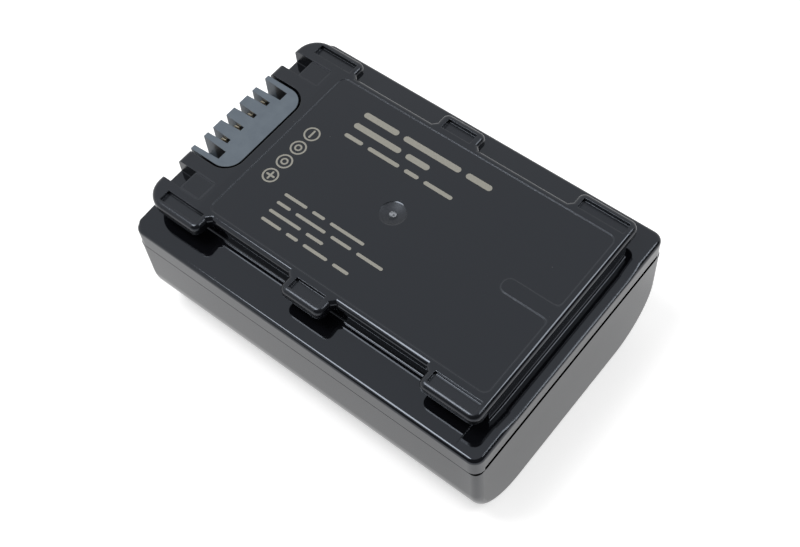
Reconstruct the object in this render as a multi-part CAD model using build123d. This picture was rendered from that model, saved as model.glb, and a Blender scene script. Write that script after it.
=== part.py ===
from build123d import *
import math
import os

# A sealed two-cell battery pack for a small video camera, as an assembly of its real pieces.
# Frame: X runs along the length with the terminals at -X, Y runs across, Z is up.
# The origin is the middle of the flat bottom face. All lengths are in millimetres.

# Outer case: the deck's rise is measured above the brim, the rim's depth from the brim down to the seam
LENGTH = 45.0
WIDTH = 31.8
HEIGHT = 18.5
DECK_RISE = 3.3
RIM_DEPTH = 2.7
SEAM_GAP = 0.10
END_SEAM_GAP = 0.62
CORNER_R = 1.2
BOTTOM_ARC_R = 7.0
WALL_DRAFT = 0.1
TUB_INSET = 0.05
TUB_END_FILLET = 0.9

# Walls of the tub, and the lip that the cover sits on
END_WALL = 1.1
FLOOR_WALL = 0.85
SIDE_WALL = 1.75
ROOM_DRAFT = 0.2
LIP_OUT = 0.65
LIP_THICK = 0.60
LIP_RISE = 1.0
LIP_ROOT = 1.0
LIP_CLEAR = 0.05
GROOVE_DEPTH = 0.6
GROOVE_EDGE = 0.12

# Brim of the cover: long sides fall outwards, the far corners are flat lands beside a channel
BRIM_WIDTH = 4.35
BRIM_THICK = 1.0
BRIM_FALL = 0.3
BRIM_FLAT = 0.05
BRIM_EDGE_FILLET = 0.5
RIM_WALL = 1.5
LAND_LENGTH = 1.15
CHANNEL_DEPTH = 0.25
CHANNEL_INSET = 2.15
RAMP_OVERRUN = 0.05
FOOT_FILLET = 0.15
FOOT_MIN_RUN = 1.5

# Deck: a plate with six tabs on a slightly narrower core, hollow below
DECK_FRONT_INSET = 0.1
DECK_END_INSET = 1.85
DECK_PLATE = 1.2
DECK_ROOF = 1.2
CORE_INSET = 0.15
CORE_SIDE_WALL = 1.1
CORE_END_WALL = 0.6
TAB_REACH = 2.05
FRONT_TAB_LENGTH = 7.7
MID_TAB_MIDDLE_X = -0.9
MID_TAB_LENGTH = 5.4
END_TAB_LENGTH = 6.95
FRONT_TAB_R = 2.6
TAB_R = 0.8
TAB_ROOT = 0.4
DECK_END_R = 1.0
DECK_TOP_FILLET = 0.55

# Pockets in the tabs, with their distances from each tab's two ends
POCKET_DEPTH = 0.45
POCKET_RIM = 0.7
FRONT_POCKET_ENDS = (2.0, 0.65)
MID_POCKET_ENDS = (0.85, 0.85)
END_POCKET_ENDS = (0.7, 0.75)

# Keying notches at the front, each with a deeper pit and a shallow panel behind it
NOTCH_RIM = 1.0
NOTCH_WIDTH = 2.45
NOTCH_LENGTH = 2.6
NOTCH_DEPTH = 1.9
PIT_LENGTH = 0.9
PIT_DEPTH = 2.5
PANEL_LENGTH = 2.7
PANEL_DEPTH = 0.12

# Shallow field on the deck's top with a tongue left standing in it, and the moulding gate mark
FIELD_FRONT_GAP = 1.13
FIELD_END_GAP = 0.95
FIELD_SIDE_GAP = 0.8
FIELD_DEPTH = 0.06
FIELD_SLOPE = 20
FIELD_R = 0.8
TONGUE_LENGTH = 6.0
TONGUE_HALF = 0.9
GATE_R = 1.5
GATE_DEPTH = 0.35
NUB_R = 0.4
NUB_RISE = 0.15

# Terminal block and its slots
BLOCK_LENGTH = 5.45
BLOCK_HALF = 6.15
BLOCK_DROP = 0.08
BLOCK_BACK_R = 2.0
BLOCK_GAP = 0.3
SEAT_RISE = 0.2
HOLE_BACK_WALL = 0.43
BLOCK_CHEEK = 0.70
WIDE_SLOT_WIDTH = 1.15
WIDE_SLOT_DEPTH = 3.35
WIDE_SLOT_FLARE = 0.145
NARROW_SLOT_PITCH = 2.08
NARROW_SLOT_HALF = 0.28
NARROW_SLOT_DEPTH = 2.7
NARROW_SLOT_FLARE = 0.12

# Contact clips
CLIP_LEAF = 0.12
CLIP_FOOT_THICK = 0.16
CLIP_SETBACK = 0.7
CLIP_DROP = 0.6
CLIP_SHOULDER = 1.5
CLIP_TIP = 0.5
CLIP_BACK_CLEAR = 0.05
CLIP_TAIL = 1.05
CLIP_CLEAR = 0.02

# Cells: the largest round that fits the room both ways
CELL_FIT = 0.05
CELL_GAP = 0.25
CELL_END_ROOM = 0.6
SLEEVE = 0.12
SLEEVE_SHORT = 0.4
CAP_R = 2.6
CAP_RISE = 0.6
RING_R = 4.6
RING_THICK = 0.2

# Strips and leads
STRIP = 0.15
STRIP_HALF = 1.5
SERIES_REACH = 2.5
END_STRIP_REACH = 2.0
LEAD_EDGE = 0.4
LEAD_WIDTH = 1.8
LEAD_RUN = 1.4
LEAD_CLEAR = 0.2
MID_LEAD_REST = 1.35
MID_LEAD_POST = 9.4
POST_CLEAR = 0.1

# Circuit board and pads
BOARD_SETBACK = 3.0
BOARD_LENGTH = 13.4
BOARD_SIDE_GAP = 0.9
BOARD_THICK = 0.6
BOARD_CLEAR = 0.1
PAD_GAP = 0.2
PAD_WRAP = 1.0
PAD_END_GAP = 0.5
PAD_SIDE_GAP = 0.4
END_PAD_HALF = 3.0
TAPE_END_GAP = 4.4
TAPE_HALF_WIDTH = 3.0

# Components: distance from the board's front edge, middle across, then length, width and height
PROTECTION_CHIP = (4.8, -5.0, 3.0, 3.0, 1.0)
SWITCH_CHIP = (4.8, 0.8, 4.4, 3.0, 1.0)
GAUGE_CHIP = (5.2, 5.0, 4.0, 4.0, 0.9)
SENSE_RESISTOR = (9.8, 0.8, 1.6, 3.2, 0.6)
THERMISTOR = (10.8, -6.8, 1.6, 0.8, 0.6)
CAPACITOR_A = (8.8, -3.6, 0.8, 1.6, 0.8)
CAPACITOR_B = (8.8, -6.2, 0.8, 1.6, 0.8)

# How far a cutting shape runs past the face that it cuts
CUT_MARGIN = 1.0

# Levels
HALF_L = LENGTH / 2
HALF_W = WIDTH / 2
BRIM_Z = HEIGHT - DECK_RISE
BRIM_ROOT_Z = BRIM_Z + BRIM_FALL
SEAM_Z = BRIM_Z - RIM_DEPTH
TUB_TOP_Z = SEAM_Z - SEAM_GAP / 2
RIM_BOTTOM_Z = SEAM_Z + SEAM_GAP / 2
LIP_TOP_Z = SEAM_Z + LIP_RISE
ROOF_Z = BRIM_Z - BRIM_THICK
SEAT_Z = BRIM_Z + SEAT_RISE
BOARD_BOTTOM_Z = SEAT_Z - BOARD_THICK
BLOCK_TOP_Z = HEIGHT - BLOCK_DROP
PLATE_Z = HEIGHT - DECK_PLATE

# Places along the length
ROOM_X = HALF_L - END_WALL
DECK_FRONT_X = -HALF_L + DECK_FRONT_INSET
DECK_END_X = HALF_L - DECK_END_INSET
CORE_END_X = DECK_END_X - CORE_INSET
LAND_START_X = DECK_END_X - LAND_LENGTH
FRONT_TAB = (DECK_FRONT_X, DECK_FRONT_X + FRONT_TAB_LENGTH)
MID_TAB = (MID_TAB_MIDDLE_X - MID_TAB_LENGTH / 2, MID_TAB_MIDDLE_X + MID_TAB_LENGTH / 2)
END_TAB = (DECK_END_X - END_TAB_LENGTH, DECK_END_X)
BLOCK_BACK_X = DECK_FRONT_X + BLOCK_LENGTH
HOLE_BACK_X = BLOCK_BACK_X + BLOCK_GAP
DECK_ROOM_X = (HOLE_BACK_X + HOLE_BACK_WALL, CORE_END_X - CORE_END_WALL)
BOARD_X = (DECK_FRONT_X + BOARD_SETBACK, DECK_FRONT_X + BOARD_SETBACK + BOARD_LENGTH)
BOARD_ROOM_X = (BOARD_X[0] - BOARD_CLEAR, DECK_ROOM_X[0] + BOARD_CLEAR)
CELL_END_X = ROOM_X - CELL_END_ROOM
LEAD_BACK_X = BOARD_X[0] + LEAD_RUN
MID_POST_X = BOARD_X[0] + MID_LEAD_POST

# Places across the width
TUB_TOP_HALF = HALF_W - TUB_INSET
BOTTOM_FLAT_HALF = HALF_W - WALL_DRAFT - BOTTOM_ARC_R
ROOM_HALF = TUB_TOP_HALF - SIDE_WALL
DECK_HALF = HALF_W - BRIM_WIDTH
CORE_HALF = DECK_HALF - CORE_INSET
TAB_HALF = DECK_HALF + TAB_REACH
DECK_ROOM_HALF = CORE_HALF - CORE_SIDE_WALL
BOARD_HALF = DECK_ROOM_HALF - BOARD_SIDE_GAP
LEAD_Y = (BOARD_HALF - LEAD_EDGE - LEAD_WIDTH, BOARD_HALF - LEAD_EDGE)

# Cells lie against the side walls and under the board's pad, and the lead spans the gap between them
CELL_HEIGHT_ROOM = BOARD_BOTTOM_Z - PAD_GAP - FLOOR_WALL - CELL_FIT
CELL_WIDTH_ROOM = ROOM_HALF - ROOM_DRAFT - CELL_FIT - CELL_GAP / 2
SLEEVE_R = min(CELL_HEIGHT_ROOM, CELL_WIDTH_ROOM) / 2
CAN_R = SLEEVE_R - SLEEVE
CAVITY_R = SLEEVE_R + CELL_FIT
CELL_Y = ROOM_HALF - ROOM_DRAFT - CAVITY_R
CELL_Z = BOARD_BOTTOM_Z - PAD_GAP - SLEEVE_R
MID_LEAD_HALF = CELL_Y - SLEEVE_R + MID_LEAD_REST


def block(x, y, z):
    """A box from three (low, high) pairs."""
    size = [high - low for low, high in (x, y, z)]
    middle = [(high + low) / 2 for low, high in (x, y, z)]
    return Pos(*middle) * Box(*size)


def both_sides(y):
    """The two mirrored (low, high) spans across, from one span at +Y."""
    return (y, (-y[1], -y[0]))


def prism(points, low, high):
    """A straight prism on a polygon of (x, y) points, from one height to another."""
    face = make_face(Polyline(*points, close=True))
    return Pos(0, 0, low) * extrude(face, amount=high - low)


def along_x(face_yz, x):
    """A section drawn as (y, z) carried along X between two stations."""
    plane = Plane(origin=(x[0], 0, 0), x_dir=(0, 1, 0), z_dir=(1, 0, 0))
    return extrude(plane * face_yz, amount=x[1] - x[0])


def rod(radius, x, y, z):
    """A cylinder along X between two stations."""
    plane = Plane(origin=(x[0], y, z), x_dir=(0, 1, 0), z_dir=(1, 0, 0))
    return extrude(plane * Circle(radius), amount=x[1] - x[0])


def rounded_slab(half_x, half_y, radius, z):
    """A slab with rounded upright edges, centred on the origin."""
    outline = RectangleRounded(2 * half_x, 2 * half_y, radius)
    return Pos(0, 0, z[0]) * extrude(outline, amount=z[1] - z[0])


def trough(top_half, top_z, centre_y, centre_z, radius):
    """Section of a trough: flat floor, two arcs, and walls that leave the arcs at a tangent."""
    reach_y = top_half - centre_y
    reach_z = top_z - centre_z
    distance = math.hypot(reach_y, reach_z)
    turn = math.atan2(reach_z, reach_y) - math.acos(radius / distance)
    tangent = (centre_y + radius * math.cos(turn), centre_z + radius * math.sin(turn))
    middle_turn = (turn - math.pi / 2) / 2
    middle = (centre_y + radius * math.cos(middle_turn), centre_z + radius * math.sin(middle_turn))
    foot = (centre_y, centre_z - radius)

    def flip(point):
        return (-point[0], point[1])

    outline = [
        Line((top_half, top_z), tangent),
        ThreePointArc(tangent, middle, foot),
        Line(foot, flip(foot)),
        ThreePointArc(flip(foot), flip(middle), flip(tangent)),
        Line(flip(tangent), (-top_half, top_z)),
        Line((-top_half, top_z), (top_half, top_z)),
    ]
    return make_face(Wire(outline))


def lower_case():
    """The tub: a trough with rounded ends, hollow for two cells, with a lip and a groove round its top."""
    section = trough(TUB_TOP_HALF, TUB_TOP_Z, BOTTOM_FLAT_HALF, BOTTOM_ARC_R, BOTTOM_ARC_R)
    outer = along_x(section, (-HALF_L, HALF_L))
    end_edges = []
    for edge in outer.edges():
        middle = edge.center()
        if abs(abs(middle.X) - HALF_L) < 1e-3 and middle.Z < TUB_TOP_Z - 1e-3:
            end_edges.append(edge)
    outer = fillet(end_edges, TUB_END_FILLET)
    lip_x = HALF_L - LIP_OUT
    lip_y = HALF_W - LIP_OUT
    lip = rounded_slab(lip_x, lip_y, CORNER_R - LIP_OUT, (TUB_TOP_Z - LIP_ROOT, LIP_TOP_Z))
    lip_inside = lip_y - LIP_THICK
    lip -= block((-ROOM_X, ROOM_X), (-lip_inside, lip_inside), (0, HEIGHT))
    room = trough(ROOM_HALF, TUB_TOP_Z, CELL_Y, CELL_Z, CAVITY_R)
    groove_x = HALF_L - TUB_INSET - GROOVE_EDGE
    groove_y = TUB_TOP_HALF - GROOVE_EDGE
    groove_top = RectangleRounded(2 * groove_x, 2 * groove_y, CORNER_R - GROOVE_EDGE)
    groove_turn = math.degrees(math.atan2(groove_x - lip_x, GROOVE_DEPTH))
    groove = extrude(Plane.XY.offset(TUB_TOP_Z) * groove_top, amount=-GROOVE_DEPTH, taper=groove_turn)
    return outer - groove + lip - along_x(room, (-ROOM_X, ROOM_X))


def rim():
    """Rim of the cover: rounded edge, long brims that fall outwards, a ramped channel at the far end."""
    body = rounded_slab(HALF_L, HALF_W, CORNER_R, (RIM_BOTTOM_Z, BRIM_Z))
    body = fillet(body.faces().sort_by(Axis.Z)[-1].edges(), BRIM_EDGE_FILLET)
    fall_half = HALF_W - BRIM_EDGE_FILLET - BRIM_FLAT
    fall = [
        (-fall_half, RIM_BOTTOM_Z),
        (fall_half, RIM_BOTTOM_Z),
        (fall_half, BRIM_Z),
        (CORE_HALF, BRIM_ROOT_Z),
        (-CORE_HALF, BRIM_ROOT_Z),
        (-fall_half, BRIM_Z),
    ]
    brims = along_x(make_face(Polyline(*fall, close=True)), (DECK_FRONT_X, LAND_START_X))
    brims &= rounded_slab(-DECK_FRONT_X, fall_half, CORNER_R - BRIM_EDGE_FILLET, (RIM_BOTTOM_Z, HEIGHT))
    body += brims
    ramp_half = DECK_HALF + RAMP_OVERRUN
    channel_half = DECK_HALF - CHANNEL_INSET
    channel = [
        (-ramp_half, HEIGHT),
        (-ramp_half, BRIM_Z),
        (-channel_half, BRIM_Z - CHANNEL_DEPTH),
        (channel_half, BRIM_Z - CHANNEL_DEPTH),
        (ramp_half, BRIM_Z),
        (ramp_half, HEIGHT),
    ]
    body -= along_x(make_face(Polyline(*channel, close=True)), (LAND_START_X, HALF_L + CUT_MARGIN))
    return body


def deck_outline():
    """Outline of the deck plate: a rectangle and three pairs of tabs, round outside, bevelled at the roots."""
    face = Rectangle(DECK_END_X - DECK_FRONT_X, 2 * DECK_HALF)
    face = Pos((DECK_END_X + DECK_FRONT_X) / 2, 0) * face
    for low, high in (FRONT_TAB, MID_TAB, END_TAB):
        face += Pos((low + high) / 2, 0) * Rectangle(high - low, 2 * TAB_HALF)
    face = make_face(face.face().outer_wire())
    front, end, tips, roots = [], [], [], []
    for corner in face.vertices():
        place = (corner.X, corner.Y)
        if abs(corner.Y) < TAB_HALF - 1e-3:
            roots.append(place)
        elif corner.X < DECK_FRONT_X + 1e-3:
            front.append(place)
        elif corner.X > DECK_END_X - 1e-3:
            end.append(place)
        else:
            tips.append(place)

    def at(places):
        return [v for v in face.vertices() if any(math.dist((v.X, v.Y), place) < 1e-3 for place in places)]

    for places, radius in ((front, FRONT_TAB_R), (end, DECK_END_R), (tips, TAB_R)):
        face = fillet(at(places), radius)
    return chamfer(at(roots), TAB_ROOT)


def deck():
    """Raised deck: the plate with its tabs, rounded on top, standing on a narrower core."""
    plate = Pos(0, 0, PLATE_Z) * extrude(deck_outline(), amount=DECK_PLATE)
    plate = fillet(plate.faces().sort_by(Axis.Z)[-1].edges(), DECK_TOP_FILLET)
    core = block((DECK_FRONT_X, CORE_END_X), (-CORE_HALF, CORE_HALF), (ROOF_Z, HEIGHT - DECK_PLATE / 2))
    return plate + core


def deck_cuts():
    """Everything sunk into the deck's top: pockets, notches, panels, field and gate mark."""
    above = HEIGHT + CUT_MARGIN
    cuts = []
    pockets = ((FRONT_TAB, FRONT_POCKET_ENDS), (MID_TAB, MID_POCKET_ENDS), (END_TAB, END_POCKET_ENDS))
    for tab, ends in pockets:
        for y in both_sides((DECK_HALF, TAB_HALF - POCKET_RIM)):
            cuts.append(block((tab[0] + ends[0], tab[1] - ends[1]), y, (HEIGHT - POCKET_DEPTH, above)))
    notch_outer = DECK_HALF - NOTCH_RIM
    notch_back = DECK_FRONT_X + NOTCH_LENGTH
    for y in both_sides((notch_outer - NOTCH_WIDTH, notch_outer)):
        cuts.append(block((-HALF_L - CUT_MARGIN, notch_back), y, (HEIGHT - NOTCH_DEPTH, above)))
        cuts.append(block((notch_back - PIT_LENGTH, notch_back), y, (HEIGHT - PIT_DEPTH, above)))
        panel_x = (notch_back - PANEL_DEPTH, notch_back + PANEL_LENGTH)
        cuts.append(block(panel_x, y, (HEIGHT - PANEL_DEPTH, above)))
    field_floor = HEIGHT - FIELD_DEPTH
    field_x = (HOLE_BACK_X + FIELD_FRONT_GAP, DECK_END_X - FIELD_END_GAP)
    field_half = DECK_HALF - FIELD_SIDE_GAP
    field = Pos((field_x[0] + field_x[1]) / 2, 0) * Rectangle(field_x[1] - field_x[0], 2 * field_half)
    field -= Pos(field_x[1] - TONGUE_LENGTH / 2, 0) * Rectangle(TONGUE_LENGTH, 2 * TONGUE_HALF)
    field = fillet(field.vertices(), FIELD_R)
    cuts.append(Pos(0, 0, field_floor) * extrude(field, amount=2 * FIELD_DEPTH, taper=-FIELD_SLOPE))
    dish_r = (GATE_R**2 + GATE_DEPTH**2) / (2 * GATE_DEPTH)
    dish_floor = field_floor - GATE_DEPTH
    dish = Pos(0, 0, dish_floor + dish_r) * Sphere(dish_r)
    cuts.append(dish - extrude(Circle(NUB_R), amount=dish_floor + NUB_RISE))
    return cuts


def deck_feet(cover):
    """Edges where the deck's core walls meet the long brims and the far channel."""
    feet = []
    for edge in cover.edges():
        middle = edge.center()
        size = edge.bounding_box().size
        on_side = abs(abs(middle.Y) - CORE_HALF) < 1e-3 and size.X > FOOT_MIN_RUN
        on_end = abs(middle.X - CORE_END_X) < 1e-3 and size.Y > FOOT_MIN_RUN
        if middle.Z < (BRIM_ROOT_Z + PLATE_Z) / 2 and (on_side or on_end):
            feet.append(edge)
    return feet


def upper_cover():
    """The cover: rim and deck in one moulding, hollow below, open for the terminal block."""
    cover = rim() + deck()
    cover = fillet(deck_feet(cover), FOOT_FILLET)
    low = SEAM_Z - CUT_MARGIN
    rabbet_out = LIP_OUT - LIP_CLEAR
    rabbet = (HALF_L - rabbet_out, HALF_W - rabbet_out, CORNER_R - rabbet_out)
    cover -= rounded_slab(*rabbet, (low, LIP_TOP_Z))
    roof_half = HALF_W - RIM_WALL
    cover -= block((-ROOM_X, ROOM_X), (-roof_half, roof_half), (low, ROOF_Z))
    cover -= block(DECK_ROOM_X, (-DECK_ROOM_HALF, DECK_ROOM_HALF), (low, HEIGHT - DECK_ROOF))
    board_half = BOARD_HALF + BOARD_CLEAR
    cover -= block(BOARD_ROOM_X, (-board_half, board_half), (low, SEAT_Z))
    lead_front = -CELL_END_X - STRIP - LEAD_CLEAR
    for y in both_sides((LEAD_Y[0] - LEAD_CLEAR, LEAD_Y[1] + LEAD_CLEAR)):
        cover -= block((lead_front, BOARD_ROOM_X[1]), y, (low, SEAT_Z))
    hole_half = BLOCK_HALF + BLOCK_GAP
    hole_x = (-HALF_L - CUT_MARGIN, HOLE_BACK_X)
    hole = block(hole_x, (-hole_half, hole_half), (SEAT_Z, HEIGHT + CUT_MARGIN))
    cover -= fillet(hole.edges().filter_by(Axis.Z).sort_by(Axis.X)[-2:], BLOCK_BACK_R + BLOCK_GAP)
    tail_top = SEAT_Z + CLIP_FOOT_THICK + CLIP_CLEAR
    tail_half = slot_centres()[-1] + NARROW_SLOT_HALF
    cover -= block((BLOCK_BACK_X, BOARD_ROOM_X[1]), (-tail_half, tail_half), (low, tail_top))
    for y in (-CELL_Y, CELL_Y):
        cover -= rod(CAVITY_R, (-ROOM_X, ROOM_X), y, CELL_Z)
    for cut in deck_cuts():
        cover -= cut
    end_gap_half = HALF_W - CORNER_R
    end_gap_x = (HALF_L - LIP_OUT, HALF_L + CUT_MARGIN)
    cover -= block(end_gap_x, (-end_gap_half, end_gap_half), (low, TUB_TOP_Z + END_SEAM_GAP))
    return cover


def slot_centres():
    """Middles of the four narrow slots across the block."""
    return [(i - 1.5) * NARROW_SLOT_PITCH for i in range(4)]


def flared_slot(middle, half, depth, flare):
    """Outline of a slot in the block, seen from above, that widens towards the open front."""
    back = DECK_FRONT_X + depth
    front = DECK_FRONT_X - CUT_MARGIN
    mouth = half + flare * (back - front) / depth
    return [(front, middle - mouth), (back, middle - half), (back, middle + half), (front, middle + mouth)]


def terminal_block():
    """Insert with teeth: two wide and four narrow slots, open at the front and flared there."""
    body = block((DECK_FRONT_X, BLOCK_BACK_X), (-BLOCK_HALF, BLOCK_HALF), (SEAT_Z, BLOCK_TOP_Z))
    body = fillet(body.edges().filter_by(Axis.Z).sort_by(Axis.X)[-2:], BLOCK_BACK_R)
    front = DECK_FRONT_X - CUT_MARGIN
    below = SEAT_Z - CUT_MARGIN
    above = HEIGHT + CUT_MARGIN
    wide_outer = BLOCK_HALF - BLOCK_CHEEK
    wide_inner = wide_outer - WIDE_SLOT_WIDTH
    for sign in (1, -1):
        middle = sign * (wide_outer + wide_inner) / 2
        slot = flared_slot(middle, WIDE_SLOT_WIDTH / 2, WIDE_SLOT_DEPTH, WIDE_SLOT_FLARE)
        body -= prism(slot, below, above)
    tail_top = SEAT_Z + CLIP_FOOT_THICK + CLIP_CLEAR
    for y in slot_centres():
        body -= prism(flared_slot(y, NARROW_SLOT_HALF, NARROW_SLOT_DEPTH, NARROW_SLOT_FLARE), below, above)
        width = (y - NARROW_SLOT_HALF, y + NARROW_SLOT_HALF)
        body -= block((front, BLOCK_BACK_X + CUT_MARGIN), width, (below, tail_top))
    return body


def contact(y):
    """A clip of two upright leaves on a foot, whose tail lies on the circuit board."""
    half = NARROW_SLOT_HALF - CLIP_CLEAR
    front = DECK_FRONT_X + CLIP_SETBACK
    back = DECK_FRONT_X + NARROW_SLOT_DEPTH - CLIP_BACK_CLEAR
    tip = ((front + back - CLIP_TIP) / 2, (front + back + CLIP_TIP) / 2)
    shoulder_z = HEIGHT - CLIP_SHOULDER
    tip_z = HEIGHT - CLIP_DROP
    leaf = [
        (front, SEAT_Z),
        (front, shoulder_z),
        (tip[0], tip_z),
        (tip[1], tip_z),
        (back, shoulder_z),
        (back, SEAT_Z),
    ]
    face = Plane.XZ * make_face(Polyline(*leaf, close=True))
    foot_z = (SEAT_Z, SEAT_Z + CLIP_FOOT_THICK)
    clip = block((front, BLOCK_BACK_X + CLIP_TAIL), (y - half, y + half), foot_z)
    for outer in (y + half, y - half + CLIP_LEAF):
        clip += Pos(0, outer, 0) * extrude(face, amount=CLIP_LEAF)
    return clip


def cell_pieces(side):
    """Can, positive cap, insulating ring and sleeve of the cell on one side.

    The near cell (side -1) has its positive end at -X, the far cell (side +1) at +X."""
    y = side * CELL_Y
    cap_base = CELL_END_X - CAP_RISE

    def span(low, high):
        return (low, high) if side > 0 else (-high, -low)

    can = rod(CAN_R, span(-CELL_END_X, cap_base), y, CELL_Z)
    cap = rod(CAP_R, span(cap_base, CELL_END_X), y, CELL_Z)
    ring = rod(RING_R, span(cap_base, cap_base + RING_THICK), y, CELL_Z) - cap
    sleeve = rod(SLEEVE_R, span(-CELL_END_X + SLEEVE_SHORT, cap_base), y, CELL_Z) - can
    return {"can": can, "cap": cap, "ring": ring, "sleeve": sleeve}


def valley_z():
    """Height at which a flat lead of the midpoint's width rests on both cells."""
    return CELL_Z + math.sqrt(SLEEVE_R**2 - (CELL_Y - MID_LEAD_HALF) ** 2)


def series_strip():
    """Strip across the far ends of both cells, with a tongue up to the midpoint lead."""
    x = (CELL_END_X, CELL_END_X + STRIP)
    reach = CELL_Y + SERIES_REACH
    strip = block(x, (-reach, reach), (CELL_Z - STRIP_HALF, CELL_Z + STRIP_HALF))
    strip += block(x, (-MID_LEAD_HALF, MID_LEAD_HALF), (CELL_Z, valley_z() + STRIP))
    return strip


def end_strip(side):
    """Strip from one cell's front end up to the underside of the circuit board."""
    y = both_sides(LEAD_Y)[0 if side > 0 else 1]
    middle = side * CELL_Y
    foot = (min(y[0], middle - END_STRIP_REACH), max(y[1], middle + END_STRIP_REACH))
    x = (-CELL_END_X - STRIP, -CELL_END_X)
    strip = block(x, foot, (CELL_Z - STRIP_HALF, CELL_Z + STRIP_HALF))
    strip += block(x, y, (CELL_Z, BOARD_BOTTOM_Z))
    strip += block((x[0], LEAD_BACK_X), y, (BOARD_BOTTOM_Z - STRIP, BOARD_BOTTOM_Z))
    return strip


def midpoint_lead():
    """Flat lead in the valley between the cells, with a post up to the circuit board."""
    z = (valley_z(), valley_z() + STRIP)
    y = (-MID_LEAD_HALF, MID_LEAD_HALF)
    lead = block((MID_POST_X, CELL_END_X), y, z)
    lead += block((MID_POST_X, MID_POST_X + STRIP), y, (z[0], BOARD_BOTTOM_Z))
    return lead


def board_pad():
    """Insulating pad that fills the space between the circuit board and the cells."""
    x = (LEAD_BACK_X + LEAD_CLEAR, BOARD_X[1] - PAD_END_GAP)
    half = BOARD_HALF - PAD_SIDE_GAP
    pad = block(x, (-half, half), (CELL_Z + SLEEVE_R - PAD_WRAP, BOARD_BOTTOM_Z))
    for y in (-CELL_Y, CELL_Y):
        pad -= rod(SLEEVE_R, (-HALF_L, HALF_L), y, CELL_Z)
    post_x = (MID_POST_X - POST_CLEAR, MID_POST_X + STRIP + POST_CLEAR)
    post_half = MID_LEAD_HALF + POST_CLEAR
    pad -= block(post_x, (-post_half, post_half), (0, HEIGHT))
    return pad


def cell_tape(side):
    """Tape between one cell and the curved floor of the tub."""
    y = side * CELL_Y
    x = (-ROOM_X + TAPE_END_GAP, ROOM_X - TAPE_END_GAP)
    film = rod(CAVITY_R, x, y, CELL_Z) - rod(SLEEVE_R, x, y, CELL_Z)
    return film & block(x, (y - TAPE_HALF_WIDTH, y + TAPE_HALF_WIDTH), (0, CELL_Z))


def end_pad():
    """Foam between the series strip and the end wall."""
    x = (CELL_END_X + STRIP, ROOM_X)
    reach = CELL_Y + END_PAD_HALF
    return block(x, (-reach, reach), (CELL_Z - END_PAD_HALF, CELL_Z + END_PAD_HALF))


def component(place):
    """A component's body standing on the circuit board."""
    from_front, middle, length, width, height = place
    x = BOARD_X[0] + from_front
    return block((x, x + length), (middle - width / 2, middle + width / 2), (SEAT_Z, SEAT_Z + height))


nodes = {
    "lower_case": lower_case(),
    "upper_cover": upper_cover(),
    "terminal_block": terminal_block(),
    "series_strip": series_strip(),
    "positive_strip": end_strip(-1),
    "negative_strip": end_strip(1),
    "midpoint_lead": midpoint_lead(),
    "circuit_board": block(BOARD_X, (-BOARD_HALF, BOARD_HALF), (BOARD_BOTTOM_Z, SEAT_Z)),
    "board_pad": board_pad(),
    "end_pad": end_pad(),
    "cell_tape_a": cell_tape(-1),
    "cell_tape_b": cell_tape(1),
    "protection_chip": component(PROTECTION_CHIP),
    "switch_chip": component(SWITCH_CHIP),
    "gauge_chip": component(GAUGE_CHIP),
    "sense_resistor": component(SENSE_RESISTOR),
    "thermistor": component(THERMISTOR),
    "capacitor_a": component(CAPACITOR_A),
    "capacitor_b": component(CAPACITOR_B),
}
contact_names = ("contact_positive", "contact_charge", "contact_data", "contact_negative")
for name, y in zip(contact_names, slot_centres()):
    nodes[name] = contact(y)
for letter, side in (("a", -1), ("b", 1)):
    for piece, shape in cell_pieces(side).items():
        nodes[f"cell_{letter}_{piece}"] = shape

os.makedirs("parts", exist_ok=True)
for name, shape in nodes.items():
    export_step(shape, f"parts/{name}.step")
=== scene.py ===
# %% [markdown]
# A camera battery in its finishes
#
# The packed solids already have every real shape of this battery pack: the tub, the cover with its
# six locking tabs, the slotted terminal block and what is sealed inside. This lesson gives each
# piece its finish, adds the ink that is printed on the deck, and sets up a small photo tent around
# the pack.

# %% Load the packed solids
import bmesh
import bpy
import numpy as np
from mathutils import Matrix, Vector


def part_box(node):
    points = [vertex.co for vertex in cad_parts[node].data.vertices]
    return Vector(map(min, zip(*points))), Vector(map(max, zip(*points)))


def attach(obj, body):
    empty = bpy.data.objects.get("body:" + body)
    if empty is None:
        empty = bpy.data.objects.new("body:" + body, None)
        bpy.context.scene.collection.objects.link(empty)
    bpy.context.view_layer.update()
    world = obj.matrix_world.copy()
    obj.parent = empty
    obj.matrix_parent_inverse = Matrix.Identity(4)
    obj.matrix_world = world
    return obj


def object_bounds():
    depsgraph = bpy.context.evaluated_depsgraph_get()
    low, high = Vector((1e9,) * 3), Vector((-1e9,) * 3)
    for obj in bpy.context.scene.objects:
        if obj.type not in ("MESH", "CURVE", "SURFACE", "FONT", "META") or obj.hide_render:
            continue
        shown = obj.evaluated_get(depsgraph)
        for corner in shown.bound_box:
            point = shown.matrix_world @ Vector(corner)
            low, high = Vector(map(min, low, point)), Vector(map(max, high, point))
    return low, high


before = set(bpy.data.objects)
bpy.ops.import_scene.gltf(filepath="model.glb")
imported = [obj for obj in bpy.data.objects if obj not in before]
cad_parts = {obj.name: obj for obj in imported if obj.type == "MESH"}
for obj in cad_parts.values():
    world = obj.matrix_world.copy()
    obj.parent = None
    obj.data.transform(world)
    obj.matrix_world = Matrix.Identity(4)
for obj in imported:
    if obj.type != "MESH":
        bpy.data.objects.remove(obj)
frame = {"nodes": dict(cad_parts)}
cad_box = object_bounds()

MM = 0.001
nodes = frame["nodes"]
cover_low, cover_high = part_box("upper_cover")
block_low, block_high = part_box("terminal_block")
pack_size = [round(s, 4) for s in np.subtract(cad_box[1], cad_box[0])]
print("loaded", len(nodes), "nodes; the pack measures", pack_size)

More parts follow.
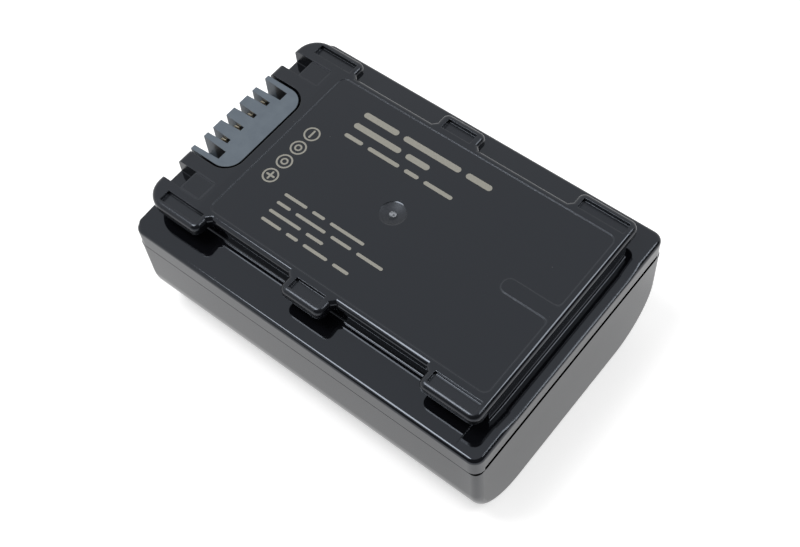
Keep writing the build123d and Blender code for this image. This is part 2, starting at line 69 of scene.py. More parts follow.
# %% [markdown]
# The camera
#
# A product shot like this is taken from above one corner with a longish lens, so that the pack
# fills the frame and its edges run nearly parallel. Blender could aim a camera with a Track To
# constraint, but a constraint keeps the horizon level and this picture is turned by a few degrees.
# So the camera's matrix is written out: its place, the direction it looks in, and a roll about that
# direction.

# %% Place the camera
LENS_MM = 58.25
SENSOR_MM = 36.0
CAMERA_PLACE = Vector((0.051880, -0.053776, 0.125449))
VIEW_DIRECTION = Vector((-0.37000, 0.38423, -0.84585)).normalized()
ROLL_DEGREES = 6.19
NEAR_CLIP = 0.01

level_right = VIEW_DIRECTION.cross(Vector((0, 0, 1))).normalized()
right = Matrix.Rotation(np.radians(ROLL_DEGREES), 3, VIEW_DIRECTION) @ level_right
up = right.cross(VIEW_DIRECTION)
camera_data = bpy.data.cameras.new("camera")
camera_data.lens = LENS_MM
camera_data.sensor_width = SENSOR_MM
camera_data.clip_start = NEAR_CLIP
camera = bpy.data.objects.new("camera", camera_data)
turned = Matrix((right, up, -VIEW_DIRECTION)).transposed().to_4x4()
camera.matrix_world = Matrix.Translation(CAMERA_PLACE) @ turned
bpy.context.scene.collection.objects.link(camera)
bpy.context.scene.camera = camera
print("camera at", [round(c, 4) for c in CAMERA_PLACE], "rolled by", ROLL_DEGREES, "degrees")

# %% [markdown]
# Shader maths as Python
#
# Finishes are made of node trees, and a tree that is wired by hand is hard to read. Here a socket
# becomes a small Python value: adding or multiplying two of them, or taking the larger one, adds
# the Math node that does it. Every other kind of node comes from one method, add, which sets the
# node's own options first and then its inputs.

# %% A socket that takes part in arithmetic, and a finish that collects nodes
class Signal:
    """One output of a node. Each operator adds one Math node to the same tree and gives its result."""

    def __init__(self, nodes, output):
        self.nodes = nodes
        self.output = output

    def math(self, operation, *values):
        return self.nodes.add("ShaderNodeMath", {"operation": operation}, dict(enumerate(values)))

    def beside(self, name):
        """Another output of the same node."""
        return Signal(self.nodes, self.output.node.outputs[name])

    def __add__(self, other):
        return self.math("ADD", self, other)

    def __sub__(self, other):
        return self.math("SUBTRACT", self, other)

    def __rsub__(self, other):
        return self.math("SUBTRACT", other, self)

    def __mul__(self, other):
        return self.math("MULTIPLY", self, other)

    def __pow__(self, other):
        return self.math("POWER", self, other)

    def __abs__(self):
        return self.math("ABSOLUTE", self)

    def sin(self):
        return self.math("SINE", self)

    def max(self, other, soft=None):
        """The larger of two values, with the crease between them rounded where soft says how far."""
        if soft is None:
            return self.math("MAXIMUM", self, other)
        return self.math("SMOOTH_MAX", self, other, soft)

    def min(self, other):
        return self.math("MINIMUM", self, other)

    __radd__ = __add__
    __rmul__ = __mul__


class Nodes:
    """A node tree, with methods that add nodes to it and link them."""

    def __init__(self, tree):
        self.tree = tree

    def feed(self, socket, value):
        """Link a signal to a socket, or set the socket to a plain value."""
        if isinstance(value, Signal):
            self.tree.links.new(value.output, socket)
        elif isinstance(value, tuple) and len(value) == 3 and socket.type == "RGBA":
            socket.default_value = (*value, 1.0)
        else:
            socket.default_value = value

    def add(self, kind, settings=None, inputs=None, output=0):
        """Add any node: its type, settings, inputs by name or number, and the output to give back."""
        node = self.tree.nodes.new(kind)
        for name, value in (settings or {}).items():
            setattr(node, name, value)
        for key, value in (inputs or {}).items():
            self.feed(node.inputs[key], value)
        return Signal(self, node.outputs[output])

    def fade(self, value, low, high):
        """0 below low, 1 above high, smooth between; low may be the larger of the two."""
        inputs = {"Value": value, "From Min": low, "From Max": high}
        return self.add("ShaderNodeMapRange", {"interpolation_type": "SMOOTHSTEP"}, inputs)

    def seen(self):
        """1 for rays from the camera, a mirror or through glass, 0 for light that falls on things."""
        camera_ray = self.add("ShaderNodeLightPath", output="Is Camera Ray")
        mirrored = camera_ray.max(camera_ray.beside("Is Glossy Ray"))
        return mirrored.max(camera_ray.beside("Is Transmission Ray"))


BEVEL_SAMPLES = 16


class Finish(Nodes):
    """A material with one Principled shader, and the textures and masks that finishes are made of."""

    def __init__(self, name, **constants):
        self.material = bpy.data.materials.new(name)
        self.material.use_nodes = True
        super().__init__(self.material.node_tree)
        self.shader = self.tree.nodes["Principled BSDF"]
        self.set(**constants)

    def place(self):
        """The surface point in millimetres, as a vector."""
        metres = self.add("ShaderNodeTexCoord", output="Object")
        return self.add("ShaderNodeVectorMath", {"operation": "SCALE"}, {0: metres, "Scale": 1 / MM})

    def split(self, vector):
        """The three parts of a vector."""
        x = self.add("ShaderNodeSeparateXYZ", inputs={0: vector})
        return x, x.beside("Y"), x.beside("Z")

    def join(self, x, y, z):
        """A vector from three values."""
        return self.add("ShaderNodeCombineXYZ", inputs={0: x, 1: y, 2: z})

    def noise(self, vector, per_mm, detail=2.0, roughness=0.5):
        """Soft noise from 0 to 1 with this many features in a millimetre."""
        inputs = {"Vector": vector, "Scale": per_mm, "Detail": detail, "Roughness": roughness}
        return self.add("ShaderNodeTexNoise", {"noise_dimensions": "3D"}, inputs)

    def cells(self, vector, per_mm, metric="EUCLIDEAN"):
        """Distance to the nearest of scattered points, in cell widths."""
        inputs = {"Vector": vector, "Scale": per_mm}
        return self.add("ShaderNodeTexVoronoi", {"distance": metric}, inputs, "Distance")

    def outline(self, x, y, x_span, y_span, radius):
        """Distance from the outline of a rounded rectangle, which is below 0 inside it."""
        half_x, half_y = (np.subtract(*span[::-1]) / 2 for span in (x_span, y_span))
        beyond_x = abs(x - float(np.mean(x_span))) - float(half_x - radius)
        beyond_y = abs(y - float(np.mean(y_span))) - float(half_y - radius)
        corner = (beyond_x.max(0.0) ** 2 + beyond_y.max(0.0) ** 2) ** 0.5
        return corner + beyond_x.max(beyond_y).min(0.0) - radius

    def blend(self, amount, first, second):
        """The first colour turning into the second as amount goes from 0 to 1."""
        inputs = {0: amount, 6: first, 7: second}
        return self.add("ShaderNodeMix", {"data_type": "RGBA"}, inputs, 2)

    def bump(self, height, depth_mm, edge_mm=0.0):
        """Feed the normal with a height from 0 to 1, depth_mm tall, over edges rounded by edge_mm."""
        inputs = {"Height": height, "Distance": depth_mm * MM}
        if edge_mm:
            rounding = {"Radius": edge_mm * MM}
            inputs["Normal"] = self.add("ShaderNodeBevel", {"samples": BEVEL_SAMPLES}, rounding)
        self.feed(self.shader.inputs["Normal"], self.add("ShaderNodeBump", inputs=inputs))

    def lit(self):
        """What the Principled shader gives."""
        return Signal(self, self.shader.outputs[0])

    def show(self, surface):
        """Show this surface in place of the Principled shader alone."""
        self.feed(self.tree.nodes["Material Output"].inputs["Surface"], surface)

    def shadow(self, mask):
        """Where the mask is 1, paint shade: a black that reflects nothing replaces the lit shader."""
        black = {"Base Color": (0.002, 0.002, 0.002), "Roughness": 1.0, "Specular IOR Level": 0.0}
        # Painted shade: a black sheet standing where the gap's shade falls.
        painted_shade = self.add("ShaderNodeBsdfPrincipled", inputs=black)
        self.show(self.add("ShaderNodeMixShader", inputs={0: mask, 1: self.lit(), 2: painted_shade}))

    def set(self, **signals):
        """Feed the shader's inputs by name, underscores for spaces, with signals or plain values."""
        for socket, value in signals.items():
            self.feed(self.shader.inputs[socket.replace("_", " ")], value)


print("a finish has the methods", [name for name in vars(Finish) if not name.startswith("_")])

# %% [markdown]
# Gloss black moulding
#
# The tub and the cover are injection mouldings in a black plastic that was pressed against a
# polished steel tool. Its own colour is almost nothing: what the eye sees is a thin clear
# reflection of the white tent, faint where the surface faces the camera and strong where it turns
# away. So the colour stays near black and the gloss does the work. A real moulding is never a
# perfect mirror: the steel leaves a very shallow waviness, handling leaves hairlines, and a few
# specks of dust settle on it. Each of these is one line below.
#
# The mould's inserts leave fine lines on the deck, with a little haze beside them, and the lines are
# drawn a little lighter as a painted highlight of their edges. Tabs and front come from a part of the
# mould that was left unpolished, and a torn stub in a dish marks where the plastic was fed in. A Bevel
# node rounds the shading of sharp edges, most of all on the far rim. Along the seam between tub and
# cover, and in the groove behind it, a black that reflects nothing is painted in as shade, in a band
# that reaches past the real gap and is wider at the far end. Where all of these lie is worked out
# first, from the boxes of the solids.

# %% Where the mould's lines run
DECK_RISE = 3.3
FIELD_INSET = (1.43, 2.80, 5.15)
FIELD_R = 0.8
TONGUE_LENGTH = 6.0
TONGUE_HALF = 0.9
PANEL_INSET_X = (2.70, 5.40)
PANEL_INSET_Y = (7.80, 5.35)
PANEL_R = 0.3
LINE_HALF = 0.06
LINE_HAZE = 0.22
NO_LINE = (0.3, 0.8)
GATE_R = 1.5
STUB_R = 0.45
DISH_SHARE = 0.3
SEAM_GAP = 0.10
END_SEAM = 0.20
GROOVE_EDGE = 0.11
GROOVE_REACH = 0.70
CORNER_R = 1.2

deck_top = cover_high.z / MM
brim_top = deck_top - DECK_RISE
rim_foot = cover_low.z / MM
side_wall = cover_high.y / MM
end_wall = cover_high.x / MM
field_x = (block_high.x / MM + FIELD_INSET[0], end_wall - FIELD_INSET[1])
field_half = side_wall - FIELD_INSET[2]
panel_x = tuple(cover_low.x / MM + inset for inset in PANEL_INSET_X)
panel_y = tuple(side_wall - inset for inset in PANEL_INSET_Y)


def from_field(finish, x, y):
    """Distance from the sunken field's outline, a rounded rectangle with a tongue at its far end."""
    field = finish.outline(x, y, field_x, (-field_half, field_half), FIELD_R)
    tongue_x = (field_x[1] - TONGUE_LENGTH, field_x[1] + TONGUE_LENGTH)
    tongue = finish.outline(x, y, tongue_x, (-TONGUE_HALF, TONGUE_HALF), FIELD_R)
    return field.max(0 - tongue, soft=FIELD_R)


def from_mould_line(finish, x, y, z):
    """Distance from the steps that the mould's inserts leave on the deck, 1 mm more below its top."""
    panel = finish.outline(x, abs(y), panel_x, panel_y, PANEL_R)
    nearest = abs(from_field(finish, x, y)).min(abs(panel))
    return nearest + finish.fade(z, deck_top - 0.25, deck_top - 0.30)


def satin_zone(finish, x, y, z):
    """1 on the tabs and the deck's front, whose part of the mould was left unpolished, 0 elsewhere."""
    tabs = finish.fade(abs(y), field_half + 1.0, field_half + 1.2)
    front = finish.fade(x, field_x[0] - 0.6, field_x[0] - 1.2)
    return tabs.max(front) * finish.fade(z, deck_top - 1.5, deck_top - 1.3)


def far_end(finish, x, y):
    """1 on the far end's face and edge between the two corners, 0 elsewhere."""
    between = finish.fade(abs(y), side_wall - CORNER_R, side_wall - CORNER_R - 0.3)
    return finish.fade(x, end_wall - 1.0, end_wall - 0.8) * between


def seam_shadow(finish, x, y, z):
    """Painted shade: 1 along the seam, in a band wider at the far end, and in the groove behind it."""
    from_seam = abs(z - (rim_foot - SEAM_GAP / 2))
    sides = finish.fade(abs(y), side_wall - 0.5, side_wall - 0.3)
    side_shade = finish.fade(from_seam, SEAM_GAP * 1.5, SEAM_GAP) * sides
    end_shade = finish.fade(from_seam, END_SEAM + 0.03, END_SEAM - 0.03) * far_end(finish, x, y)
    outward = finish.outline(x, y, (-end_wall, end_wall), (-side_wall, side_wall), CORNER_R)
    inside = finish.fade(outward, -GROOVE_EDGE, -GROOVE_EDGE - 0.03)
    groove_shade = inside * finish.fade(from_seam, GROOVE_REACH, GROOVE_REACH - 0.05)
    return side_shade.max(end_shade).max(groove_shade)


def gate_scar(finish, x, y, z):
    """1 on the torn stub where the plastic was fed in, DISH_SHARE in its dish, 0 elsewhere."""
    from_middle = (x ** 2 + y ** 2) ** 0.5
    dish = finish.fade(from_middle, GATE_R, GATE_R - 0.2) * DISH_SHARE
    stub = finish.fade(from_middle, STUB_R, STUB_R - 0.1) * (1 - DISH_SHARE)
    return (dish + stub) * finish.fade(z, deck_top - 0.60, deck_top - 0.55)


field_ends = [round(x, 2) for x in field_x]
print("the field lies at x =", field_ends, "mm and is", round(2 * field_half, 2), "mm wide")

# %% Gloss black moulding
COOL_GLOSS = (0.64, 0.70, 0.80, 1.0)
BLACK = (0.0030, 0.0032, 0.0042)
LINE_HIGHLIGHT_GREY = (0.020, 0.021, 0.024)
TORN_GREYS = ((0.05, 0.055, 0.06), (0.24, 0.25, 0.27))
DUST_GREY = (0.045, 0.044, 0.043)
EDGE_BREAK = 0.12
RIM_BREAK = 0.55


def gloss_black(name, index, is_cover):
    """Black plastic of this refractive index, on the cover with its lines, gate and dull zones."""
    finish = Finish(name, IOR=index, Specular_Tint=COOL_GLOSS)
    point = finish.place()
    x, y, z = finish.split(point)
    waviness = finish.noise(point, 0.30, 2.0)
    slanted = finish.join(x * 0.55 + y * 0.25, y * 9.0 - x * 5.0, z * 9.0)
    hairline = finish.fade(finish.noise(slanted, 1.3, 1.0), 0.70, 0.80)
    speck = finish.fade(finish.cells(point, 0.40), 0.026, 0.013)
    plastic = BLACK
    roughness = 0.035 + waviness * 0.03 + hairline * 0.05 + speck * 0.4
    edge = EDGE_BREAK
    if is_cover:
        to_line = from_mould_line(finish, x, y, z)
        behind_front = finish.fade(abs(x - field_x[0]), *NO_LINE)
        # The mould lines follow real steps in the deck; their lighter colour is a painted highlight of
        # the steps' edges.
        lines = finish.fade(to_line, LINE_HALF, LINE_HALF / 3) * behind_front
        haze = finish.fade(to_line, LINE_HAZE, LINE_HAZE / 2)
        gate = gate_scar(finish, x, y, z)
        torn = finish.blend(finish.fade(finish.noise(point, 4.0), 0.4, 0.6), *TORN_GREYS)
        plastic = finish.blend(gate ** 3, finish.blend(lines, plastic, LINE_HIGHLIGHT_GREY), torn)
        dish = finish.fade(gate, 0.0, DISH_SHARE)
        roughness = roughness + dish * 0.45 + satin_zone(finish, x, y, z) * 0.20 + haze * 0.25
        rim_edge = far_end(finish, x, y) * finish.fade(z, brim_top - 1.2, brim_top - 1.0)
        edge = EDGE_BREAK + rim_edge * (RIM_BREAK - EDGE_BREAK)
    finish.set(Base_Color=finish.blend(speck, plastic, DUST_GREY), Roughness=roughness)
    finish.bump(waviness * 0.9 + speck * 0.05, 0.004, edge)
    # Painted shade along the seam and in the groove behind it.
    finish.shadow(seam_shadow(finish, x, y, z))
    return finish


cover_black = gloss_black("gloss_black_cover", 1.58, is_cover=True)
tub_black = gloss_black("gloss_black_tub", 1.50, is_cover=False)
for finish in (cover_black, tub_black):
    print(finish.material.name, "has", len(finish.tree.nodes), "nodes")

# %% [markdown]
# Satin blue-grey moulding
#
# The terminal block is a separate insert in a filled, stiffer plastic. It has a fine spark-eroded
# texture that scatters light, so it looks evenly grey-blue from every side. Noise at about ten
# grains to a millimetre gives that texture, and a slower noise gives the slight clouding of the
# filler. Its face stays grey, and so do the walls near its front; lower than about a tenth of a
# millimetre under the face and further back than about one and a half millimetres, the walls are
# painted black as painted shade, which makes the inner ends of the slots look deep.

# %% Satin blue-grey moulding
FACE_GREYS = ((0.078, 0.100, 0.125), (0.096, 0.121, 0.147))
SLOT_SHADE_BLACK = (0.004, 0.004, 0.005)


def satin_grey():
    finish = Finish("satin_grey_moulding", IOR=1.5)
    point = finish.place()
    x, y, z = finish.split(point)
    grain = finish.noise(point, 11.0, 3.0, 0.6)
    cloud = finish.noise(point, 0.8, 3.0)
    depth = block_high.z / MM - z
    inward = x - block_low.x / MM
    # Painted shade: walls below the face and behind the front of the teeth are painted black.
    body = finish.fade(depth, 0.03, 0.12) * finish.fade(inward, 1.2, 1.7)
    face = finish.blend(finish.fade(cloud * 0.7 + grain * 0.3, 0.3, 0.7), *FACE_GREYS)
    finish.set(Base_Color=finish.blend(body, face, SLOT_SHADE_BLACK), Roughness=0.40 + grain * 0.14)
    finish.bump(grain, 0.006, EDGE_BREAK / 2)
    return finish


grey = satin_grey()
print("satin grey moulding has", len(grey.tree.nodes), "nodes")

# %% [markdown]
# Gold-flashed spring metal
#
# The contacts are stamped from a springy copper alloy and flashed with gold. Rolling the strip
# leaves fine lines along it, and the camera's blades polish the top of each leaf smoother. Lower in
# the slot the leaves are painted a dark gold as painted shade. Stretching the noise along X makes the
# rolling lines, and the height of the point sets the smoother top and the painted shade below it.

# %% Gold-flashed spring metal
SHADED_GOLD = (0.16, 0.12, 0.07)
UNSHADED_GOLD = (0.92, 0.84, 0.66)


def spring_gold():
    finish = Finish("gold_flashed_spring", Metallic=1.0)
    point = finish.place()
    x, y, z = finish.split(point)
    lines = finish.noise(finish.join(x * 0.4, y * 14.0, z * 14.0), 1.0, 3.0)
    # Painted shade below; bright gold and a smoother polish at the top of each leaf.
    polish_above_painted_shade = finish.fade(z, block_high.z / MM - 1.1, block_high.z / MM - 0.7)
    finish.set(
        Base_Color=finish.blend(polish_above_painted_shade, SHADED_GOLD, UNSHADED_GOLD),
        Roughness=0.45 - polish_above_painted_shade * 0.20 + lines * 0.10,
    )
    finish.bump(lines, 0.002)
    return finish


gold = spring_gold()
print("gold-flashed spring metal has", len(gold.tree.nodes), "nodes")

# %% [markdown]
# Metals inside the pack
#
# The cans, their caps and the welded strips are nickel-plated steel and nickel. Cans are drawn,
# which leaves lines along their length; strips are rolled flat and carry the small round marks of
# spot welding. One function makes both, because only the colour, the direction of the lines and the
# weld marks differ.

# %% Nickel finishes
def nickel(name, colour, along, across, weld):
    finish = Finish(name, Metallic=1.0)
    point = finish.place()
    x, y, z = finish.split(point)
    lines = finish.noise(finish.join(x * along, y * across, z * across), 1.0, 3.0)
    tarnish = finish.noise(point, 0.5, 3.0)
    marks = finish.fade(finish.cells(point, 0.9), 0.28, 0.20) * weld
    dark = tuple(c * 0.72 for c in colour)
    finish.set(
        Base_Color=finish.blend(tarnish * 0.5 + marks * 0.4, colour, dark),
        Roughness=0.24 + lines * 0.16 + marks * 0.15,
    )
    finish.bump(lines * 0.4 + marks, 0.008)
    return finish


can_steel = nickel("drawn_can_steel", (0.62, 0.63, 0.65), 0.3, 8.0, 0.0)
strip_nickel = nickel("rolled_strip_nickel", (0.70, 0.70, 0.68), 0.5, 9.0, 1.0)
print("nickel finishes:", can_steel.material.name, strip_nickel.material.name)

# %% [markdown]
# Papers, films and foam
#
# Insulating paper shows short fibres, shrink film shows faint rings where it drew tight, closed
# foam shows its cells and tape shows its woven scrim. All four are a pale or dark base with one
# telling texture, so each gets its own small function.

# %% Insulating paper
def paper(name, colour):
    finish = Finish(name, Roughness=0.8)
    x, y, z = finish.split(finish.place())
    fibre_a = finish.noise(finish.join(x * 1.0, y * 7.0, z * 3.0), 1.0, 2.0)
    fibre_b = finish.noise(finish.join(x * 7.0, y * 1.0, z * 3.0), 1.0, 2.0)
    fibre = fibre_a.max(fibre_b)
    shade = tuple(c * 0.82 for c in colour)
    finish.set(Base_Color=finish.blend(finish.fade(fibre, 0.45, 0.75), colour, shade))
    finish.bump(fibre, 0.015)
    return finish


ring_paper = paper("white_ring_paper", (0.82, 0.81, 0.77))
pad_paper = paper("grey_board_paper", (0.29, 0.35, 0.32))
print("papers:", ring_paper.material.name, pad_paper.material.name)

# %% Shrink film
def shrink_film():
    finish = Finish("green_shrink_film", IOR=1.5)
    point = finish.place()
    x, y, z = finish.split(point)
    rings = finish.noise(finish.join(x * 1.6, y * 0.05, z * 0.05), 1.0, 2.0)
    thin = finish.noise(point, 0.4, 2.0)
    finish.set(
        Base_Color=finish.blend(thin, (0.040, 0.190, 0.140), (0.062, 0.240, 0.180)),
        Roughness=0.18 + rings * 0.14,
    )
    finish.bump(rings, 0.03)
    return finish


film = shrink_film()
print("shrink film has", len(film.tree.nodes), "nodes")

# %% Closed foam and cloth tape
def closed_foam():
    finish = Finish("closed_cell_foam")
    point = finish.place()
    cell = finish.cells(point, 4.0)
    finish.set(
        Base_Color=finish.blend(cell, (0.135, 0.135, 0.135), (0.085, 0.085, 0.088)),
        Roughness=0.95 - cell * 0.15,
    )
    finish.bump(1 - cell, 0.04)
    return finish


def cloth_tape():
    finish = Finish("woven_cloth_tape")
    x, y, z = finish.split(finish.place())
    weave = (x * 9.0).sin() * (y * 9.0).sin() * 0.5 + 0.5
    finish.set(
        Base_Color=finish.blend(weave, (0.70, 0.70, 0.67), (0.84, 0.84, 0.82)),
        Roughness=0.75 + weave * 0.15,
    )
    finish.bump(weave, 0.01)
    return finish


foam = closed_foam()
tape = cloth_tape()
print("foam and tape have", len(foam.tree.nodes), "and", len(tape.tree.nodes), "nodes")

# %% [markdown]
# Circuit board and its components
#
# The board is glass cloth under green solder mask, with copper tracks that show as slightly raised,
# paler lines. The Chebychev distance of a Voronoi texture gives square cells, and their borders
# look like tracks. A chip is black moulding compound with a fine sand finish. A ceramic component
# is a tan body, or a black glazed one for the resistor, with tinned ends, which are found from how
# far a point is from the component's middle.

# %% Solder-masked board
def masked_board():
    finish = Finish("green_solder_mask", IOR=1.5)
    point = finish.place()
    square = finish.cells(point, 0.8, "CHEBYCHEV")
    track = finish.fade(abs(square - 0.42), 0.07, 0.04)
    cloth = finish.noise(point, 6.0, 2.0)
    finish.set(
        Base_Color=finish.blend(track, (0.022, 0.130, 0.055), (0.050, 0.240, 0.095)),
        Roughness=0.30 + cloth * 0.18,
    )
    finish.bump(track + cloth * 0.2, 0.03)
    return finish


board = masked_board()
print("solder mask has", len(board.tree.nodes), "nodes")

# %% Chip bodies and ceramic components
def chip_compound():
    finish = Finish("chip_moulding_compound", IOR=1.5)
    sand = finish.noise(finish.place(), 14.0, 3.0)
    finish.set(
        Base_Color=finish.blend(sand, (0.022, 0.022, 0.023), (0.042, 0.042, 0.043)),
        Roughness=0.48 + sand * 0.2,
    )
    finish.bump(sand, 0.012)
    return finish


def ceramic(node, pale, deep):
    """A body between two colours, with tinned ends across the component's longer side."""
    low, high = (np.array(corner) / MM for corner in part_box(node))
    long_axis = int(np.argmax((high - low)[:2]))
    middle = float((low + high)[long_axis] / 2)
    half = float((high - low)[long_axis] / 2)
    finish = Finish("tinned_" + node)
    point = finish.place()
    along = finish.split(point)[long_axis]
    tinned = finish.fade(abs(along - middle), half * 0.62, half * 0.68)
    speckle = finish.noise(point, 12.0, 3.0)
    body = finish.blend(speckle, deep, pale)
    finish.set(
        Base_Color=finish.blend(tinned, body, (0.68, 0.68, 0.66)),
        Metallic=tinned,
        Roughness=0.42 - tinned * 0.12 + speckle * 0.1,
    )
    finish.bump(speckle, 0.006)
    return finish


compound = chip_compound()
TAN = ((0.60, 0.50, 0.38), (0.48, 0.38, 0.27))
GLAZE_BLACK = ((0.042, 0.042, 0.043), (0.022, 0.022, 0.023))
ceramics = {name: ceramic(name, *TAN) for name in ("thermistor", "capacitor_a", "capacitor_b")}
ceramics["sense_resistor"] = ceramic("sense_resistor", *GLAZE_BLACK)
print("ceramic components:", sorted(ceramics))

# %% [markdown]
# Dress the solids
#
# Every packed solid keeps its mesh and its place. A finish is put on by filling the material slot
# that came with it.

# %% Give every solid its finish
def finish_of(name):
    """The finish that belongs to a node, found from its name."""
    by_ending = {
        "_case": tub_black,
        "_cover": cover_black,
        "_block": grey,
        "_can": can_steel,
        "_cap": can_steel,
        "_ring": ring_paper,
        "_sleeve": film,
        "_strip": strip_nickel,
        "_lead": strip_nickel,
        "_board": board,
        "_chip": compound,
    }
    if name in ceramics:
        return ceramics[name]
    if name.startswith("contact_"):
        return gold
    if name.startswith("cell_tape"):
        return tape
    if name in ("board_pad", "end_pad"):
        return pad_paper if name == "board_pad" else foam
    return next(finish for ending, finish in by_ending.items() if name.endswith(ending))


for name, solid in nodes.items():
    solid.data.materials.clear()
    solid.data.materials.append(finish_of(name).material)
worn = {finish_of(name).material.name for name in nodes}
print("dressed", len(nodes), "solids in", len(worn), "finishes")

# %% [markdown]
# Printed marks
#
# Beside each contact the deck carries a small printed ring that tells the contacts apart: plus at
# one end, minus at the other, and two neutral marks between them. Printing ink is a real layer,
# about a hundredth of a millimetre thick, so it is made as a thin solid that lies on the deck. It
# could be painted by a shader mask, but a solid keeps its crisp edge in every export. A ring is a
# small rectangle carried round a circle, and a bar is a flat plate whose outline has round ends.
# Rows of such bars also fill the printed areas on both sides of the deck's middle.

# %% Helpers that turn arrays into a piece
INK_THICK = 0.010 * MM
INK_LINE = 0.19 * MM
FIELD_DEPTH = 0.06 * MM
FIELD_Z = cover_high.z - FIELD_DEPTH


def grid_faces(rows, columns, close_rows):
    """Quads of a grid whose columns close on themselves, and whose rows do too if asked."""
    row = np.arange(rows if close_rows else rows - 1)[:, None]
    column = np.arange(columns)[None, :]
    next_row = (row + 1) % rows
    next_column = (column + 1) % columns
    corners = [
        row * columns + column,
        row * columns + next_column,
        next_row * columns + next_column,
        next_row * columns + column,
    ]
    return np.stack([np.broadcast_to(c, (len(row), columns)).ravel() for c in corners], axis=1)


def ink_ring(centre, radius):
    """A rectangle of line width by ink thickness carried round a circle.

    point(u, v) = centre + (radius + across(v)) * (cos u, sin u) + height(v) * up."""
    turn = np.linspace(0, 2 * np.pi, 96, endpoint=False)
    across = np.array([-0.5, 0.5, 0.5, -0.5]) * INK_LINE
    height = np.array([0.0, 0.0, 1.0, 1.0]) * INK_THICK
    reach = radius + across[:, None]
    x = centre[0] + reach * np.cos(turn)
    y = centre[1] + reach * np.sin(turn)
    z = FIELD_Z + np.broadcast_to(height[:, None], x.shape)
    return np.stack([x, y, z], axis=-1).reshape(-1, 3), grid_faces(4, len(turn), True)


def ink_bar(centre, half_length, direction, half_width=INK_LINE * 0.6, thick=INK_THICK):
    """A flat plate with round ends.

    along(u) = half_width * cos u + sign(cos u) * (half_length - half_width)
    across(u) = half_width * sin u
    point(u, v) = centre + shrink(v) * (along(u) * direction + across(u) * sideways) + height(v) * up

    The four levels v are: shrunk to the middle below, full below, full above, shrunk above."""
    turn = np.linspace(0, 2 * np.pi, 48, endpoint=False) + np.pi / 48
    along = half_width * np.cos(turn) + np.sign(np.cos(turn)) * (half_length - half_width)
    across = half_width * np.sin(turn)
    shrink = np.array([0.0, 1.0, 1.0, 0.0])[:, None]
    height = np.array([0.0, 0.0, 1.0, 1.0])[:, None] * thick
    dx, dy = direction
    x = centre[0] + shrink * (along * dx - across * dy)
    y = centre[1] + shrink * (along * dy + across * dx)
    z = FIELD_Z + np.broadcast_to(height, x.shape)
    return np.stack([x, y, z], axis=-1).reshape(-1, 3), grid_faces(4, len(turn), False)


def make_piece(name, parts, finish):
    """One object from several (points, faces) parts, with doubles merged so that the poles close."""
    starts = np.cumsum([0] + [len(points) for points, faces in parts])
    points = np.concatenate([points for points, faces in parts])
    faces = np.concatenate([faces + start for (_, faces), start in zip(parts, starts)])
    mesh = bpy.data.meshes.new(name)
    mesh.from_pydata(points.tolist(), [], faces.tolist())
    shell = bmesh.new()
    shell.from_mesh(mesh)
    bmesh.ops.remove_doubles(shell, verts=shell.verts, dist=INK_THICK / 100)
    bmesh.ops.recalc_face_normals(shell, faces=shell.faces)
    shell.to_mesh(mesh)
    shell.free()
    mesh.materials.append(finish.material)
    piece = bpy.data.objects.new(name, mesh)
    bpy.context.scene.collection.objects.link(piece)
    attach(piece, "root")
    return piece


print("ink is", round(INK_THICK / MM, 3), "mm thick and lies at z =", round(FIELD_Z / MM, 2), "mm")

# %% Ink and the four marks
def pale_ink():
    finish = Finish("pale_pad_ink", IOR=1.5)
    point = finish.place()
    mottle = finish.noise(point, 5.0, 3.0)
    finish.set(
        Base_Color=finish.blend(mottle, (0.210, 0.205, 0.178), (0.285, 0.278, 0.243)),
        Roughness=0.45 + mottle * 0.2,
    )
    finish.bump(mottle, 0.004)
    return finish


MARK_MIDDLE = (-13.2 * MM, -0.5 * MM)
MARK_PITCH = 2.2 * MM
MARK_RADIUS = 0.82 * MM
INNER_RADIUS = 0.34 * MM
SIGN_HALF = 0.56 * MM
CROSSBAR_THICK = 0.8 * INK_THICK
ALONG_X, ALONG_Y = (1.0, 0.0), (0.0, 1.0)
ink = pale_ink()
marks = []
for place in range(4):
    centre = (MARK_MIDDLE[0], MARK_MIDDLE[1] + (place - 1.5) * MARK_PITCH)
    marks.append(ink_ring(centre, MARK_RADIUS))
    if place in (0, 3):
        marks.append(ink_bar(centre, SIGN_HALF, ALONG_Y))
    if place == 0:
        marks.append(ink_bar(centre, SIGN_HALF, ALONG_X, thick=CROSSBAR_THICK))
    if place in (1, 2):
        marks.append(ink_ring(centre, INNER_RADIUS))
terminal_marks = make_piece("terminal_marks", marks, ink)
print("terminal marks:", len(terminal_marks.data.polygons), "faces")

# %% Printed fields
FIELD_START = -10.4
ROW_GAP = 0.75
ROWS = [
    (8.2, 0.36, (4.6, 7.4, 3.2)),
    (6.5, 0.36, (6.2, 3.0)),
    (4.9, 0.24, (2.4, 4.1, 1.8, 3.6)),
    (-4.7, 0.18, (3.0, 1.6, 4.4)),
    (-5.9, 0.18, (1.8, 3.9, 2.6, 3.3)),
    (-7.1, 0.18, (4.2, 2.2)),
    (-8.3, 0.18, (2.6, 1.5, 3.1, 2.0)),
]


def ink_row(y, half_width, lengths):
    """Bars end to end along X with the same gap between them, from the printed area's left edge."""
    lengths = np.array(lengths)
    middles = FIELD_START + np.cumsum(lengths + ROW_GAP) - ROW_GAP - lengths / 2
    bars = zip(middles, lengths / 2)
    return [ink_bar((x * MM, y * MM), half * MM, ALONG_X, half_width * MM) for x, half in bars]


fields = [bar for row in ROWS for bar in ink_row(*row)]
printed_fields = make_piece("printed_fields", fields, ink)
print("printed fields:", len(fields), "bars in", len(printed_fields.data.polygons), "faces")

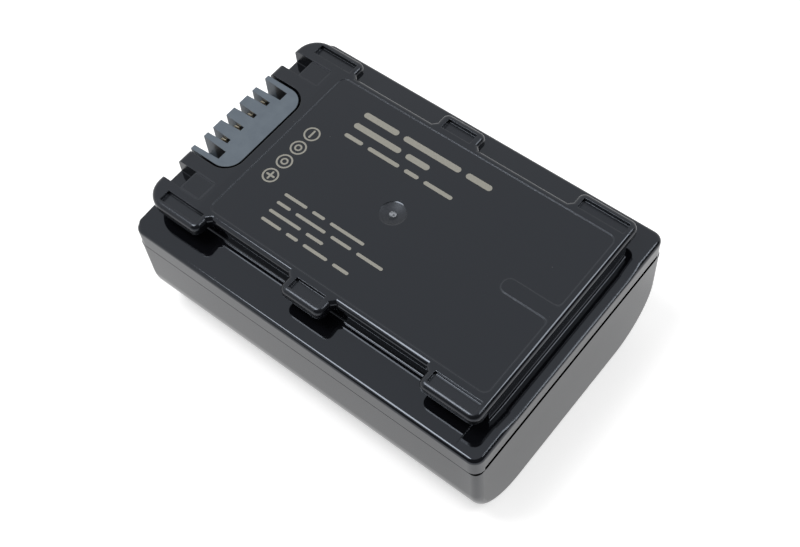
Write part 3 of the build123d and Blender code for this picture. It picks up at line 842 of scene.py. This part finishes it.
# %% [markdown]
# Floor, tent and lamps
#
# Small glossy goods are photographed in a white tent, because black plastic shows whatever
# surrounds it. The tent here is the world: white for the camera and for reflections, and about half
# as strong as a light. One side of it is open and dark in reflections, which draws a dark line
# beside each bright edge. The floor is pale and takes the shadow, with just enough of its own white
# for the camera to reach the backdrop's level. Two softboxes overhead, at the front left and at the
# back right, draw the bright lines along the rounded edges.

# %% The floor
WHITE = (1.0, 1.0, 1.0)
FLOOR_WHITE = 0.48
FLOOR_SHEEN = 0.30
FLOOR_HALF = 1.5


def pale_floor():
    finish = Finish("pale_floor", Roughness=0.9)
    grain = finish.noise(finish.place(), 0.05, 2.0)
    finish.set(Base_Color=finish.blend(grain, (0.78, 0.78, 0.78), (0.80, 0.80, 0.80)))
    camera_ray = finish.add("ShaderNodeLightPath", output="Is Camera Ray")
    strength = finish.seen() * FLOOR_SHEEN + camera_ray * (FLOOR_WHITE - FLOOR_SHEEN)
    glow = finish.add("ShaderNodeEmission", inputs={"Color": WHITE, "Strength": strength})
    finish.show(finish.add("ShaderNodeAddShader", inputs={0: finish.lit(), 1: glow}))
    return finish


floor_mesh = bpy.data.meshes.new("floor")
floor_corners = [(x * FLOOR_HALF, y * FLOOR_HALF, 0) for x, y in ((-1, -1), (1, -1), (1, 1), (-1, 1))]
floor_mesh.from_pydata(floor_corners, [], [(0, 1, 2, 3)])
floor_mesh.materials.append(pale_floor().material)
floor = bpy.data.objects.new("floor", floor_mesh)
bpy.context.scene.collection.objects.link(floor)
print("floor is", 2 * FLOOR_HALF, "m across")

# %% The tent and the softboxes
TENT_LIGHT = 0.48
OPEN_SIDE = (0.85, -0.53, 0.0)
OPEN_EDGE = (0.02, 0.20)
OPEN_DARK = 0.88
PACK_MIDDLE = (0, 0, 0.015)
world = bpy.data.worlds.new("tent")
world.use_nodes = True
bpy.context.scene.world = world
tent = Nodes(world.node_tree)
background = tent.tree.nodes["Background"]
tent.feed(background.inputs["Color"], WHITE)
sides = {0: tent.add("ShaderNodeTexCoord", output="Generated"), 1: OPEN_SIDE}
toward = tent.add("ShaderNodeVectorMath", {"operation": "DOT_PRODUCT"}, sides, "Value")
opening = tent.fade(toward, *OPEN_EDGE) * tent.add("ShaderNodeLightPath", output="Is Glossy Ray")
mirrored = 1.0 - opening * OPEN_DARK
tent.feed(background.inputs["Strength"], TENT_LIGHT + tent.seen() * (mirrored - TENT_LIGHT))


def softbox(name, place, aim, size, watts):
    """A rectangular lamp at a place, turned to face a point."""
    data = bpy.data.lights.new(name, "AREA")
    data.shape = "RECTANGLE"
    data.size, data.size_y = size
    data.energy = watts
    lamp = bpy.data.objects.new(name, data)
    lamp.location = place
    lamp.rotation_euler = (Vector(aim) - Vector(place)).to_track_quat("-Z", "Y").to_euler()
    bpy.context.scene.collection.objects.link(lamp)
    return lamp


softbox("front_box", (-0.10, -0.08, 0.34), PACK_MIDDLE, (0.13, 0.13), 0.62)
softbox("back_box", (0.196, 0.159, 0.30), PACK_MIDDLE, (0.11, 0.13), 0.36)
bpy.context.scene.view_settings.view_transform = "Standard"
